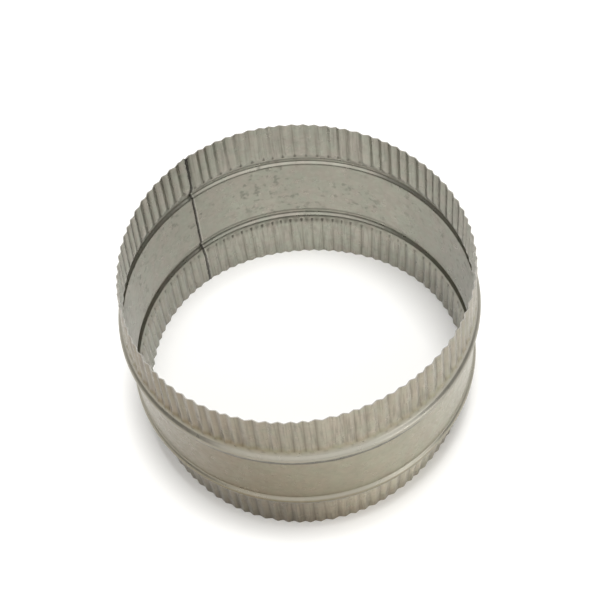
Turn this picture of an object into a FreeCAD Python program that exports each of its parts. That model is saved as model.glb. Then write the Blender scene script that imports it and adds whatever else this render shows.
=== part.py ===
import FreeCAD, Part
import math
import os

# Connector sleeve for round flexible duct, rolled from one strip of thin
# galvanised steel. Both ends are crimped into fine axial flutes, so that the
# duct slides over them. A bead rolled outward beside each crimp stops the duct
# and stiffens the sleeve. The strip's ends lap and are welded along one line.
# The sleeve stands on one rim, with its axis on Z. Radii are over the outside.

LENGTH = 123.0
SHEET = 0.48
BAND_R = 101.5

# Beads: rolled outward, with steep flanks and a narrow crest.
BEAD_FROM_MIDDLE = 25.4
BEAD_WIDTH = 7.0
BEAD_HEIGHT = 1.8
CREST_WIDTH = 3.2

# Crimps: flat-topped flutes, tapered in towards the rim. They run out on a
# shoulder that widens to the bead and meets its foot in a fine step.
FLUTES = 94
FLUTE_DEPTH = 0.8
FLAT_SHARE = 0.3
RIM_R = 98.5
CRIMP_LENGTH = 30.5
CRIMP_END_R = 99.75
SHOULDER_START = 26.0
SHOULDER_R = 98.9
FOOT_STEP = 0.05

# Seam: the outer end of the strip laps over the inner one and stops short of
# both rims. The inner end leaves a narrow gap on the inside of the sleeve.
SEAM_FLUTES_ON = 9.4
LAP_WIDTH = 8.0
LAP_CLIP = 0.6
GAP_WIDTH = 0.6
GAP_BITE = 0.1
GAP_COVER = 0.9

PITCH = 2 * math.pi / FLUTES
FLAT = FLAT_SHARE * PITCH / 2
FIRST_CREST = math.pi / 2
SEAM_ANGLE = FIRST_CREST + SEAM_FLUTES_ON * PITCH
MIDDLE = LENGTH / 2
UP = FreeCAD.Vector(0, 0, 1)
ORIGIN = FreeCAD.Vector(0, 0, 0)


def point(radius, angle, z):
    return FreeCAD.Vector(radius * math.cos(angle), radius * math.sin(angle), z)


def closed(corners):
    return Part.Face(Part.makePolygon(corners + corners[:1]))


def fluted_outline(mean_r, z):
    # Corners of crest flat and root flat, flute after flute. The depth goes
    # with the radius, so that every facet of the tapered flutes is plane.
    crest_r = mean_r * (1 + FLUTE_DEPTH / 2 / RIM_R)
    root_r = mean_r * (1 - FLUTE_DEPTH / 2 / RIM_R)
    corners = []
    for number in range(FLUTES):
        crest = FIRST_CREST + number * PITCH
        root = crest + PITCH / 2
        corners.append(point(crest_r, crest - FLAT, z))
        corners.append(point(crest_r, crest + FLAT, z))
        corners.append(point(root_r, root - FLAT, z))
        corners.append(point(root_r, root + FLAT, z))
    return corners


def shoulder_outline(radius, z):
    # One side to a flute, with a corner over each crest.
    return [point(radius, FIRST_CREST + number * PITCH, z) for number in range(FLUTES)]


def tapered(low, high):
    # A solid with plane sides between two outlines of the same shape.
    faces = [closed(low), closed(high)]
    for i in range(len(low)):
        j = (i + 1) % len(low)
        faces.append(closed([low[i], low[j], high[j], high[i]]))
    shell = Part.makeShell(faces)
    shell.sewShape()
    solid = Part.makeSolid(shell)
    if solid.Volume < 0:
        solid.reverse()
    return solid


def bead_corners(z, shift):
    # A bead from its lower foot to its upper foot. Inside it is narrower.
    foot = (BEAD_WIDTH + shift) / 2
    crest = (CREST_WIDTH + shift) / 2
    base_r = BAND_R + shift
    top_r = base_r + BEAD_HEIGHT
    return [(base_r, z - foot), (top_r, z - crest), (top_r, z + crest), (base_r, z + foot)]


def plug(shift):
    # The space inside one skin of the sheet: the beads and the plain band are
    # turned about the axis, and a shoulder and a crimp are added at each end.
    profile = bead_corners(MIDDLE - BEAD_FROM_MIDDLE, shift)
    profile += bead_corners(MIDDLE + BEAD_FROM_MIDDLE, shift)
    foot_z = profile[0][1]
    profile = [(0, foot_z)] + profile + [(0, LENGTH - foot_z)]
    section = closed([FreeCAD.Vector(radius, 0, z) for radius, z in profile])
    turned = section.revolve(ORIGIN, UP, 360)
    shoulder_low = shoulder_outline(SHOULDER_R + shift, SHOULDER_START)
    shoulder_high = shoulder_outline(BAND_R - FOOT_STEP + shift, foot_z)
    crimp_low = fluted_outline(RIM_R + shift, 0)
    crimp_high = fluted_outline(CRIMP_END_R + shift, CRIMP_LENGTH)
    end = tapered(shoulder_low, shoulder_high).fuse(tapered(crimp_low, crimp_high))
    return turned.fuse([end, end.mirror(FreeCAD.Vector(0, 0, MIDDLE), UP)])


def sector(first, last, clip):
    # A wedge of space from the axis outward, as long as the sleeve less clips.
    reach = 2 * BAND_R
    corners = [point(0, 0, clip), point(reach, first, clip), point(reach, last, clip)]
    return closed(corners).extrude(UP * (LENGTH - 2 * clip))


lap_first = SEAM_ANGLE - LAP_WIDTH / BAND_R
lap_last = SEAM_ANGLE + GAP_COVER / BAND_R
lap = sector(lap_first, lap_last, LAP_CLIP).common(plug(SHEET))

gap_turn = GAP_WIDTH / BAND_R / 2
gap = sector(SEAM_ANGLE - gap_turn, SEAM_ANGLE + gap_turn, 0).common(plug(GAP_BITE))

connector = plug(0).fuse(lap).cut(plug(-SHEET)).cut(gap)

os.makedirs("parts", exist_ok=True)
connector.exportStep("parts/duct_connector.step")
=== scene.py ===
import math

import bmesh
import bpy
from mathutils import Matrix, Vector


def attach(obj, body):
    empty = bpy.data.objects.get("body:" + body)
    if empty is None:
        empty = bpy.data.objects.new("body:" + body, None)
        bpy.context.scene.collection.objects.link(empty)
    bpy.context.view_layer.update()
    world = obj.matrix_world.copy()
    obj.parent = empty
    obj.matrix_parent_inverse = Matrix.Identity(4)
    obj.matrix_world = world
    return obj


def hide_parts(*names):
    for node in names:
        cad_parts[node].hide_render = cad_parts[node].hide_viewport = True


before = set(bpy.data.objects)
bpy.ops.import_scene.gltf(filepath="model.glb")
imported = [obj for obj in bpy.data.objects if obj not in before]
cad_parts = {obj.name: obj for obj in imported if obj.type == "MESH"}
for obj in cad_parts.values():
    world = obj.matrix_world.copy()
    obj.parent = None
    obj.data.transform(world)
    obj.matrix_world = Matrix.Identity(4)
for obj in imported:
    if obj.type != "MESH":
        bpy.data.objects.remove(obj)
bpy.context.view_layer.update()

# The sleeve is one strip of thin galvanised steel, rolled into a ring. Both
# ends are crimped into fine flutes and a bead is rolled outward beside each
# crimp. One flute is shaped from rim to rim and then turned round the axis.
mm = 0.001
deg = math.radians(1.0)
flutes = 94
columns = 10
pitch = math.tau / flutes
column_turn = pitch / columns
first_crest = math.pi / 2
full_height = 123.0
mid_height = full_height / 2
mean_radius = 100.0
sheet = 0.48
near = 0.1
weld = 0.01

# Height above the rim, radius, how far the crests stand out and the roots lie
# in, and the extra depth of the pocket that the jaws leave at a crest's end.
crimp_rows = [
    (0.0, 98.50, 0.52, 0.52, 0.0),
    (12.0, 99.03, 0.55, 0.55, 0.0),
    (25.0, 99.61, 0.52, 0.52, 0.0),
    (27.0, 99.70, 0.50, 0.45, 0.0),
    (28.4, 99.95, 0.48, 0.28, 0.12),
    (29.6, 100.27, 0.42, 0.08, 0.22),
    (30.3, 100.47, 0.34, 0.0, 0.20),
    (30.8, 100.62, 0.04, 0.0, 0.0),
]

# Height above the rim and radius of the shoulder, the bead and half the band.
bead_rows = [
    (31.5, 100.85), (32.2, 101.07), (32.55, 101.24), (32.85, 101.50),
    (33.5, 102.15), (34.1, 102.69), (34.7, 103.06), (35.4, 103.26),
    (36.1, 103.30), (36.8, 103.25), (37.45, 103.04), (38.0, 102.66),
    (38.5, 102.16), (39.05, 101.68), (39.5, 101.53), (40.2, 101.50),
    (mid_height, 101.50),
]
half_rows = crimp_rows + [(z, r, 0.0, 0.0, 0.0) for z, r in bead_rows]
rows = half_rows + [(full_height - row[0],) + row[1:] for row in reversed(half_rows[:-1])]

# Crest, flank and root of one flute, column by column. A pocket takes only the
# top of the crest.
wave = [1.0, 0.68, 0.23, -0.23, -0.68, -1.0, -0.68, -0.23, 0.23, 0.68, 1.0]
pocket_edge = 0.45
deepest_pocket = 0.22

bpy.ops.object.select_all(action="DESELECT")
bpy.ops.mesh.primitive_circle_add(vertices=flutes * columns, radius=rows[0][1] * mm)
sleeve = bpy.context.object
sleeve.name = "connector_sleeve"
bpy.ops.object.mode_set(mode="EDIT")


def turn_of(point):
    return math.atan2(point.y, point.x)


def column_of(vert):
    return (turn_of(vert.co) - first_crest) / column_turn


def pick(test):
    shape = bmesh.from_edit_mesh(sleeve.data)
    for vert in shape.verts:
        vert.select = test(vert)
    shape.select_flush_mode()
    bmesh.update_edit_mesh(sleeve.data)


def swell(ratio):
    bpy.ops.transform.resize(value=(ratio, ratio, 1.0), center_override=(0, 0, 0))


def mark(name, value):
    shape = bmesh.from_edit_mesh(sleeve.data)
    layer = shape.verts.layers.float.get(name) or shape.verts.layers.float.new(name)
    for vert in shape.verts:
        if vert.select:
            vert[layer] = value
    bmesh.update_edit_mesh(sleeve.data)


pick(lambda vert: not -0.5 < column_of(vert) < columns + 0.5)
bpy.ops.mesh.delete(type="VERT")
bpy.ops.mesh.select_all(action="SELECT")
for low, high in zip(rows, rows[1:]):
    rise = (0, 0, (high[0] - low[0]) * mm)
    bpy.ops.mesh.extrude_region_move(TRANSFORM_OT_translate={"value": rise})
    swell(high[1] / low[1])

for z, r, crest_out, root_in, pocket in rows:
    for column, level in enumerate(wave):
        in_pocket = max(0.0, level - pocket_edge) / (1.0 - pocket_edge)
        push = level * (crest_out if level > 0 else root_in) + pocket * in_pocket
        if push != 0:
            pick(lambda vert: abs(vert.co.z - z * mm) < near * mm
                 and abs(column_of(vert) - column) < 0.3)
            swell(1.0 + push / r)
            mark("flute_level", level)
            mark("pocket", pocket / deepest_pocket * in_pocket)

bpy.ops.mesh.select_all(action="SELECT")
bpy.ops.mesh.spin(steps=flutes - 1, dupli=True, angle=math.tau - pitch,
                  center=(0, 0, 0), axis=(0, 0, 1))
bpy.ops.mesh.select_all(action="SELECT")
bpy.ops.mesh.remove_doubles(threshold=weld * mm)

# The crimping jaws don't space every flute alike. The beads hold the middle
# round, while the thin ends are bent a little out of round. The strip was
# rolled slightly askew, so the seam leans.
# A bend is the share of the radius for the sine of the turn, then for the
# cosine and the sine of twice and of three times the turn.
seam = first_crest + 9.4 * pitch
seam_shift = -0.55 * deg
seam_lean = 0.0065 * deg
lean_width = 0.15
ring_lean = 0.98 * deg
bend_start = 29.0
low_bend = (0.0046, 0.0057, 0.0030, 0.0086, 0.0176)
high_bend = (0.0046, -0.0032, 0.0011, 0.0088, 0.0002)


def swing(above_middle):
    return seam_shift - seam_lean * above_middle


shape = bmesh.from_edit_mesh(sleeve.data)
for vert in shape.verts:
    turn = turn_of(vert.co)
    off_seam = (turn - seam + math.pi) % math.tau - math.pi
    above_middle = vert.co.z / mm - mid_height
    spacing = 0.08 * math.sin(17 * off_seam) + 0.05 * math.sin(29 * off_seam)
    lean = swing(above_middle) * math.exp(-(off_seam / lean_width) ** 2)
    turn += pitch * spacing + lean
    bend = max(0.0, abs(above_middle) - bend_start) / (mid_height - bend_start)
    s1, c2, s2, c3, s3 = high_bend if above_middle > 0 else low_bend
    bent = turn - ring_lean
    out = s1 * math.sin(bent) + c2 * math.cos(2 * bent) + s2 * math.sin(2 * bent)
    out += c3 * math.cos(3 * bent) + s3 * math.sin(3 * bent)
    radius = vert.co.xy.length * (1.0 + out * bend)
    vert.co.x = radius * math.cos(turn)
    vert.co.y = radius * math.sin(turn)
bmesh.update_edit_mesh(sleeve.data)

# The seam: the strip's outer end steps outward by one sheet and laps over the
# inner end, cut a little short of both rims. Where it steps out, the sheet
# stands up above the top rim like a small ear.
lap_columns = 12
joggle_columns = 3
lap_gap = 0.03
lap_clip = 0.4
ear_height = 1.3
ear_column = 2.2
ear_columns = 1.6
top = (full_height - near) * mm


def past_seam(point):
    return (turn_of(point) - seam - swing(point.z / mm - mid_height)) / column_turn


pick(lambda vert: -lap_columns - 0.5 < past_seam(vert.co) < joggle_columns + 1)
bpy.ops.mesh.duplicate()
shape = bmesh.from_edit_mesh(sleeve.data)
lap_edge = shape.verts.layers.float.new("lap_edge")
for vert in shape.verts:
    vert.tag = vert.select
    past = past_seam(vert.co)
    if vert.select:
        vert[lap_edge] = float(past < 0.5 - lap_columns)
        step = min(1.0, max(0.0, (joggle_columns - past) / (joggle_columns - 1.0)))
        vert.co.xy *= 1.0 + step * (sheet + lap_gap) / mean_radius
        if past < 0.5:
            at_foot = vert.co.z < near * mm
            at_top = vert.co.z > top
            vert.co.z += (at_foot - at_top) * lap_clip * mm
    if vert.co.z > top:
        vert.co.z += ear_height * mm * math.exp(-((past - ear_column) / ear_columns) ** 2)
for face in shape.faces:
    past = past_seam(face.calc_center_median())
    covered = 0.0 < past < joggle_columns + 0.5
    face.select = covered and not any(vert.tag for vert in face.verts)
bmesh.update_edit_mesh(sleeve.data)
bpy.ops.mesh.select_mode(type="FACE")
bpy.ops.mesh.delete(type="FACE")
bpy.ops.mesh.select_mode(type="VERT")
bpy.ops.mesh.select_all(action="SELECT")
bpy.ops.mesh.remove_doubles(threshold=weld * mm)
bpy.ops.mesh.normals_make_consistent(inside=False)
bpy.ops.object.mode_set(mode="OBJECT")


def put(tree, kind, values, **settings):
    made = tree.nodes.new(kind)
    for name, value in settings.items():
        setattr(made, name, value)
    for socket, value in values.items():
        if isinstance(value, bpy.types.NodeSocket):
            tree.links.new(value, made.inputs[socket])
        else:
            made.inputs[socket].default_value = value
    return made


def ramp(tree, value, low, high, to_low, to_high):
    made = put(tree, "ShaderNodeMapRange", {0: value, 1: low, 2: high, 3: to_low, 4: to_high})
    return made.outputs[0]


def reckon(tree, operation, a, b=0.0):
    return put(tree, "ShaderNodeMath", {0: a, 1: b}, operation=operation).outputs[0]


def times(tree, a, b):
    return reckon(tree, "MULTIPLY", a, b)


def distance(tree, value, centre):
    return reckon(tree, "ABSOLUTE", reckon(tree, "SUBTRACT", value, centre))


def blend(tree, share, a, b, way="MIX"):
    made = put(tree, "ShaderNodeMix", {0: share, 6: a, 7: b}, data_type="RGBA", blend_type=way)
    return made.outputs[2]


def noise(tree, place, scale, detail, roughness=0.5):
    values = {"Vector": place, "Scale": scale, "Detail": detail, "Roughness": roughness}
    return put(tree, "ShaderNodeTexNoise", values).outputs[0]


def upright(tree, place, squeeze):
    values = {"Vector": place, "Scale": (1.0, 1.0, squeeze)}
    return put(tree, "ShaderNodeMapping", values).outputs[0]


def marked(tree, name):
    return put(tree, "ShaderNodeAttribute", {}, attribute_name=name).outputs["Fac"]


def shade(colour, red, green, blue):
    return (colour[0] * red, colour[1] * green, colour[2] * blue, 1)


# Dark lines, painted shade and painted highlights are placed by the height above
# the middle of the band and by the turn round the axis. Each bead's crest is this
# far from the middle.
bead = 25.4
seam_black = (0.045, 0.040, 0.038, 1)


# Inside, painted shade darkens the pockets that the crimping jaws pressed, most
# of all at the back, and a band just above each of the two grooves.
def pocket_and_groove_shade(tree, colour, turn, height):
    from_back = distance(tree, turn, 94.0 * deg)
    # Painted shade: dark dots in the pockets.
    dot = ramp(tree, marked(tree, "pocket"), 0.05, 0.42, 0.0, 0.88)
    dot = times(tree, dot, ramp(tree, from_back, 18.0 * deg, 36.0 * deg, 1.0, 0.45))
    dot = times(tree, dot, ramp(tree, height, -30.0 * mm, 30.0 * mm, 1.0, 0.7))
    colour = blend(tree, dot, colour, (0.09, 0.085, 0.07, 1))

    # Painted shade: a dark band on the flank just above each groove.
    over_upper = distance(tree, height, (bead + 3.2) * mm)
    over_lower = distance(tree, height, (-bead + 2.8) * mm)
    off_groove = reckon(tree, "MINIMUM", over_upper, over_lower)
    groove_shade = ramp(tree, off_groove, 0.6 * mm, 1.4 * mm, 0.4, 0.0)
    groove_shade = times(tree, groove_shade, ramp(tree, from_back, 20.0 * deg, 50.0 * deg, 1.0, 0.0))
    return blend(tree, groove_shade, colour, (0.12, 0.115, 0.09, 1))


# Inside, the gap at the seam is a ragged black line. Beside it a painted
# highlight stands for the edge of the inner sheet catching the light.
def seam_line(tree, colour, place, turn, height):
    across = reckon(tree, "SUBTRACT", turn, seam + seam_shift)
    across = reckon(tree, "ADD", across, times(tree, height, seam_lean / mm))
    across = times(tree, across, mean_radius * mm)
    # Painted highlight beside the seam.
    edge_highlight = ramp(tree, distance(tree, across, -1.2 * mm), 0.2 * mm, 0.5 * mm, 0.3, 0.0)
    colour = blend(tree, edge_highlight, colour, (0.55, 0.535, 0.47, 1))

    reach = ramp(tree, noise(tree, place, 300.0, 3.0), 0.3, 0.7, 0.30 * mm, 0.85 * mm)
    reach = times(tree, reach, ramp(tree, height, 26.0 * mm, 61.0 * mm, 1.0, 1.8))
    reach = times(tree, reach, ramp(tree, height, -28.0 * mm, -45.0 * mm, 1.0, 1.6))
    past_reach = reckon(tree, "SUBTRACT", distance(tree, across, -0.1 * mm), reach)
    black = ramp(tree, past_reach, -0.15 * mm, 0.15 * mm, 1.0, 0.0)
    black = times(tree, black, ramp(tree, height, -32.0 * mm, 34.0 * mm, 0.76, 0.84))
    return blend(tree, black, colour, seam_black)


# Outside, thin dark lines lie under the crest and at the foot of the upper
# bead, painted shade with some soiling, and under the crest of the lower one,
# painted shade. A dark line runs along the edge of the lap. Painted light
# lightens the crimps in front, towards the right, the lower one most.
def outside_painted_light_and_lap_line(tree, colour, turn, height, on_crimp, streaks):
    # Painted shade with some soiling under the upper bead.
    at_foot = distance(tree, height, (bead - 4.7) * mm)
    at_crest = distance(tree, height, (bead - 0.9) * mm)
    off_line = reckon(tree, "MINIMUM", at_foot, reckon(tree, "ADD", at_crest, 0.3 * mm))
    ragged = ramp(tree, streaks, 0.3, 0.7, -0.3 * mm, 0.4 * mm)
    upper = ramp(tree, reckon(tree, "ADD", off_line, ragged), 1.0 * mm, 1.6 * mm, 0.82, 0.0)
    colour = blend(tree, upper, colour, (0.06, 0.055, 0.042, 1))
    # Painted shade under the crest of the lower bead.
    under_lower = distance(tree, height, (-bead - 1.5) * mm)
    lower = ramp(tree, under_lower, 0.8 * mm, 2.0 * mm, 0.5, 0.0)
    colour = blend(tree, lower, colour, (0.08, 0.074, 0.056, 1))

    # Painted light: the crimps lighter in front, towards the right.
    painted_light = ramp(tree, distance(tree, turn, -66.0 * deg), 12.0 * deg, 36.0 * deg, 1.0, 0.0)
    painted_light = times(tree, painted_light, ramp(tree, height, -30.0 * mm, 30.0 * mm, 1.0, 0.15))
    painted_light = times(tree, painted_light, on_crimp)
    colour = blend(tree, painted_light, colour, (1.7, 1.7, 1.67, 1), "MULTIPLY")
    lap_line = ramp(tree, marked(tree, "lap_edge"), 0.3, 0.8, 0.0, 0.75)
    return blend(tree, lap_line, colour, seam_black)


def zinc(name, inside, pale, deep, band_tone, stain_share, line_share,
         painted_shade_tone, painted_shade_turn, painted_shade_slant, painted_shade_none, painted_shade_full):
    # Dull zinc: cloudy grey with a faint tint and fine flecks.
    finish = bpy.data.materials.new(name)
    finish.use_nodes = True
    tree = finish.node_tree
    metal = tree.nodes["Principled BSDF"]
    metal.inputs["Metallic"].default_value = 1.0
    place = put(tree, "ShaderNodeTexCoord", {}).outputs["Object"]
    split = put(tree, "ShaderNodeSeparateXYZ", {0: place}).outputs
    height = reckon(tree, "SUBTRACT", split["Z"], mid_height * mm)
    from_middle = reckon(tree, "ABSOLUTE", height)
    turn = reckon(tree, "ARCTAN2", split["Y"], split["X"])
    on_crimp = ramp(tree, from_middle, 32.0 * mm, 35.0 * mm, 0.0, 1.0)
    off_crimp = reckon(tree, "SUBTRACT", 1.0, on_crimp)

    cloud = noise(tree, place, 55.0, 6.0, 0.6)
    colour = blend(tree, ramp(tree, cloud, 0.3, 0.7, 0.0, 1.0), deep, pale)
    cool = ramp(tree, noise(tree, place, 130.0, 2.0), 0.35, 0.65, 0.0, 1.0)
    tint = blend(tree, cool, (1.03, 0.985, 0.99, 1), (0.975, 1.01, 0.99, 1))
    colour = blend(tree, 1.0, colour, tint, "MULTIPLY")
    flecks = put(tree, "ShaderNodeTexVoronoi", {"Vector": place, "Scale": 420.0}).outputs["Color"]
    fleck = put(tree, "ShaderNodeSeparateColor", {0: flecks}).outputs
    tone = ramp(tree, fleck[0], 0.0, 1.0, 0.96, 1.04)
    fleck_tone = put(tree, "ShaderNodeCombineColor", {0: tone, 1: tone, 2: tone}).outputs[0]
    colour = blend(tree, 1.0, colour, fleck_tone, "MULTIPLY")
    colour = blend(tree, off_crimp, colour, band_tone, "MULTIPLY")

    # The jaws drew fine lines along the crimps. The hollows of the flutes, which
    # are the crests as seen from inside, are darker in streaks and darkest deep in
    # the creases; on the left inside they get painted shade as well.
    drawn = noise(tree, upright(tree, place, 0.04), 850.0, 3.0)
    line = times(tree, ramp(tree, drawn, 0.48, 0.68, 0.0, line_share), on_crimp)
    colour = blend(tree, line, colour, shade(deep, 0.45, 0.45, 0.45))
    hollow = times(tree, marked(tree, "flute_level"), 1.0 if inside else -1.0)
    streaks = noise(tree, upright(tree, place, 0.12), 120.0, 3.0)
    dark_hollows = ramp(tree, hollow, -0.2, 0.9, 0.0, 1.0)
    dark_hollows = times(tree, dark_hollows, ramp(tree, streaks, 0.38, 0.66, 0.05, 0.5))
    if inside:
        # Painted shade: the hollows on the left inside, the upper half most.
        left = ramp(tree, reckon(tree, "ABSOLUTE", turn), 116.0 * deg, 142.0 * deg, 0.0, 0.6)
        left = times(tree, left, ramp(tree, height, 0.0, 30.0 * mm, 0.2, 1.0))
        left = times(tree, left, ramp(tree, hollow, 0.0, 0.6, 0.0, 1.0))
        dark_hollows = reckon(tree, "MAXIMUM", dark_hollows, left)
    colour = blend(tree, dark_hollows, colour, shade(deep, 0.55, 0.52, 0.48))
    crease = ramp(tree, hollow, 0.72, 1.0, 0.0, 0.5)
    crease = times(tree, crease, ramp(tree, streaks, 0.35, 0.6, 0.3, 1.0))
    colour = blend(tree, crease, colour, shade(deep, 0.4, 0.38, 0.36))
    if inside:
        colour = pocket_and_groove_shade(tree, colour, turn, height)

    # Small soft stains lie in groups, most of them on the plain band.
    group = ramp(tree, noise(tree, place, 34.0, 1.0), 0.36, 0.60, 0.0, stain_share)
    group = times(tree, group, ramp(tree, from_middle, 24.0 * mm, 34.0 * mm, 1.0, 0.35))
    stain = times(tree, ramp(tree, noise(tree, place, 230.0, 2.0), 0.57, 0.68, 0.0, 1.0), group)
    colour = blend(tree, stain, colour, (0.18, 0.18, 0.15, 1))

    # Painted shade darkens part of the way round: inside, the sides away from the
    # back; outside, the front left, in a warm tone. Outside, the upper sides of
    # the beads get a painted highlight and no painted shade.
    slanted = reckon(tree, "ADD", turn, times(tree, height, painted_shade_slant * deg / mm))
    off_painted_shade = distance(tree, slanted, painted_shade_turn * deg)
    painted_shade = put(tree, "ShaderNodeMapRange", {0: off_painted_shade, 1: painted_shade_none * deg, 2: painted_shade_full * deg},
               interpolation_type="SMOOTHSTEP").outputs[0]
    painted_shade = times(tree, painted_shade, ramp(tree, cloud, 0.3, 0.6, 0.8, 1.0))
    painted_shade = times(tree, painted_shade, ramp(tree, on_crimp, 0.0, 1.0, 1.0, 0.8))
    if not inside:
        off_upper = distance(tree, height, (bead + 2.6) * mm)
        off_lower = distance(tree, height, (-bead + 2.4) * mm)
        # Painted highlight on the upper sides of the beads.
        bead_highlight = reckon(tree, "MAXIMUM", ramp(tree, off_upper, 0.8 * mm, 4.6 * mm, 0.68, 0.0),
                        ramp(tree, off_lower, 0.7 * mm, 1.6 * mm, 0.55, 0.0))
        colour = blend(tree, bead_highlight, colour, (0.345, 0.335, 0.30, 1))
        painted_shade = times(tree, painted_shade, reckon(tree, "SUBTRACT", 1.0, bead_highlight))
    colour = blend(tree, painted_shade, colour, painted_shade_tone, "MULTIPLY")
    if inside:
        colour = seam_line(tree, colour, place, turn, height)
    else:
        colour = outside_painted_light_and_lap_line(tree, colour, turn, height, on_crimp, streaks)
    tree.links.new(colour, metal.inputs["Base Color"])

    # Each fleck has its own sheen, the stains are duller and the lines are sunk.
    dull = ramp(tree, fleck[1], 0.0, 1.0, 0.27, 0.35)
    dull = reckon(tree, "ADD", dull, times(tree, stain, 0.15))
    tree.links.new(dull, metal.inputs["Roughness"])
    relief = reckon(tree, "ADD", noise(tree, place, 1300.0, 3.0), times(tree, line, -1.5))
    bump = put(tree, "ShaderNodeBump", {"Height": relief, "Strength": 0.08, "Distance": 0.2 * mm})
    tree.links.new(bump.outputs[0], metal.inputs["Normal"])
    return finish


sleeve.data.materials.append(zinc(
    "zinc_outside",
    inside=False,
    # The outside copy is darker and warmer than the inside: painted shade.
    pale=(0.292, 0.27, 0.215, 1),
    deep=(0.258, 0.236, 0.185, 1),
    band_tone=(0.925, 0.93, 0.85, 1),
    stain_share=0.12,
    line_share=0.5,
    # Painted warm shade on the front left.
    painted_shade_tone=(0.56, 0.49, 0.40, 1),
    painted_shade_turn=-125.0,
    painted_shade_slant=0.4,
    painted_shade_none=66.0,
    painted_shade_full=5.0,
))
sleeve.data.materials.append(zinc(
    "zinc_inside",
    inside=True,
    pale=(0.39, 0.38, 0.325, 1),
    deep=(0.35, 0.34, 0.29, 1),
    band_tone=(0.925, 0.925, 0.92, 1),
    stain_share=0.6,
    line_share=0.36,
    # Painted shade on the sides.
    painted_shade_tone=(0.80, 0.80, 0.80, 1),
    painted_shade_turn=78.0,
    painted_shade_slant=0.0,
    painted_shade_none=15.0,
    painted_shade_full=60.0,
))

# The sheared edge of the sheet is bare steel, a little duller than the zinc.
sheared = bpy.data.materials.new("sheared_edge")
sheared.use_nodes = True
edge_tree = sheared.node_tree
steel = edge_tree.nodes["Principled BSDF"]
steel.inputs["Metallic"].default_value = 1.0
steel.inputs["Roughness"].default_value = 0.55
edge_place = put(edge_tree, "ShaderNodeTexCoord", {}).outputs["Object"]
edge_cloud = noise(edge_tree, edge_place, 500.0, 3.0)
edge_colour = blend(edge_tree, edge_cloud, (0.27, 0.26, 0.235, 1), (0.40, 0.385, 0.35, 1))
edge_tree.links.new(edge_colour, steel.inputs["Base Color"])
sleeve.data.materials.append(sheared)

# The sheet gets its thickness inwards: zinc on both faces, bare steel between.
thickness = sleeve.modifiers.new("sheet", "SOLIDIFY")
thickness.thickness = sheet * mm
thickness.offset = -1.0
thickness.use_even_offset = True
thickness.material_offset = 1
thickness.material_offset_rim = 2
bpy.ops.object.modifier_apply(modifier=thickness.name)
bpy.ops.object.shade_smooth_by_angle(angle=50.0 * deg)

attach(sleeve, "root")
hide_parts("duct_connector")

# A plain pale floor that the sleeve stands on, matt like paper and wide enough
# to fill the view.
bpy.ops.object.select_all(action="DESELECT")
bpy.ops.mesh.primitive_plane_add(size=8.0)
floor = bpy.context.object
floor.name = "floor"
pale_floor = bpy.data.materials.new("pale_floor")
pale_floor.use_nodes = True
paper = pale_floor.node_tree.nodes["Principled BSDF"]
paper.inputs["Base Color"].default_value = (0.94, 0.935, 0.92, 1)
paper.inputs["Roughness"].default_value = 0.9
floor.data.materials.append(pale_floor)

# Soft studio light: a dim room, a broad soft panel in front, a lamp high
# overhead and a low dim panel to the right.
world = bpy.data.worlds.new("studio")
world.use_nodes = True
room = world.node_tree.nodes["Background"]
room.inputs["Color"].default_value = (1.0, 0.99, 0.97, 1)
room.inputs["Strength"].default_value = 0.40
bpy.context.scene.world = world
lit_point = Vector((0, 0, 0.05))


def soft_lamp(name, spot, width, height, power):
    bpy.ops.object.light_add(type="AREA", location=spot)
    lamp = bpy.context.object
    lamp.name = name
    lamp.data.shape = "RECTANGLE"
    lamp.data.size = width
    lamp.data.size_y = height
    lamp.data.energy = power
    lamp.rotation_euler = (lit_point - lamp.location).to_track_quat("-Z", "Y").to_euler()


soft_lamp("front_panel", (0.05, -1.5, 0.92), 3.9, 1.7, 25.0)
soft_lamp("overhead_lamp", (0.12, 0.06, 2.2), 0.7, 0.7, 43.0)
soft_lamp("right_panel", (0.8, -0.75, 0.10), 0.6, 0.18, 1.0)

# The camera looks down into the sleeve, a little rolled, as in the photograph.
ring_turn = Matrix.Rotation(ring_lean, 3, "Z")
pan = Matrix.Rotation(-0.168 * deg, 3, "Z")
tilt = Matrix.Rotation(33.517 * deg, 3, "X")
roll = Matrix.Rotation(-6.751 * deg, 3, "Z")
stand = Vector((-0.23 * mm, -378.42 * mm, 656.25 * mm))
bpy.ops.object.camera_add(location=ring_turn @ stand)
camera = bpy.context.object
camera.rotation_euler = (ring_turn @ pan @ tilt @ roll).to_euler()
camera.data.sensor_width = 36.0
camera.data.lens = 71.89
bpy.context.scene.camera = camera
bpy.context.scene.view_settings.view_transform = "Standard"
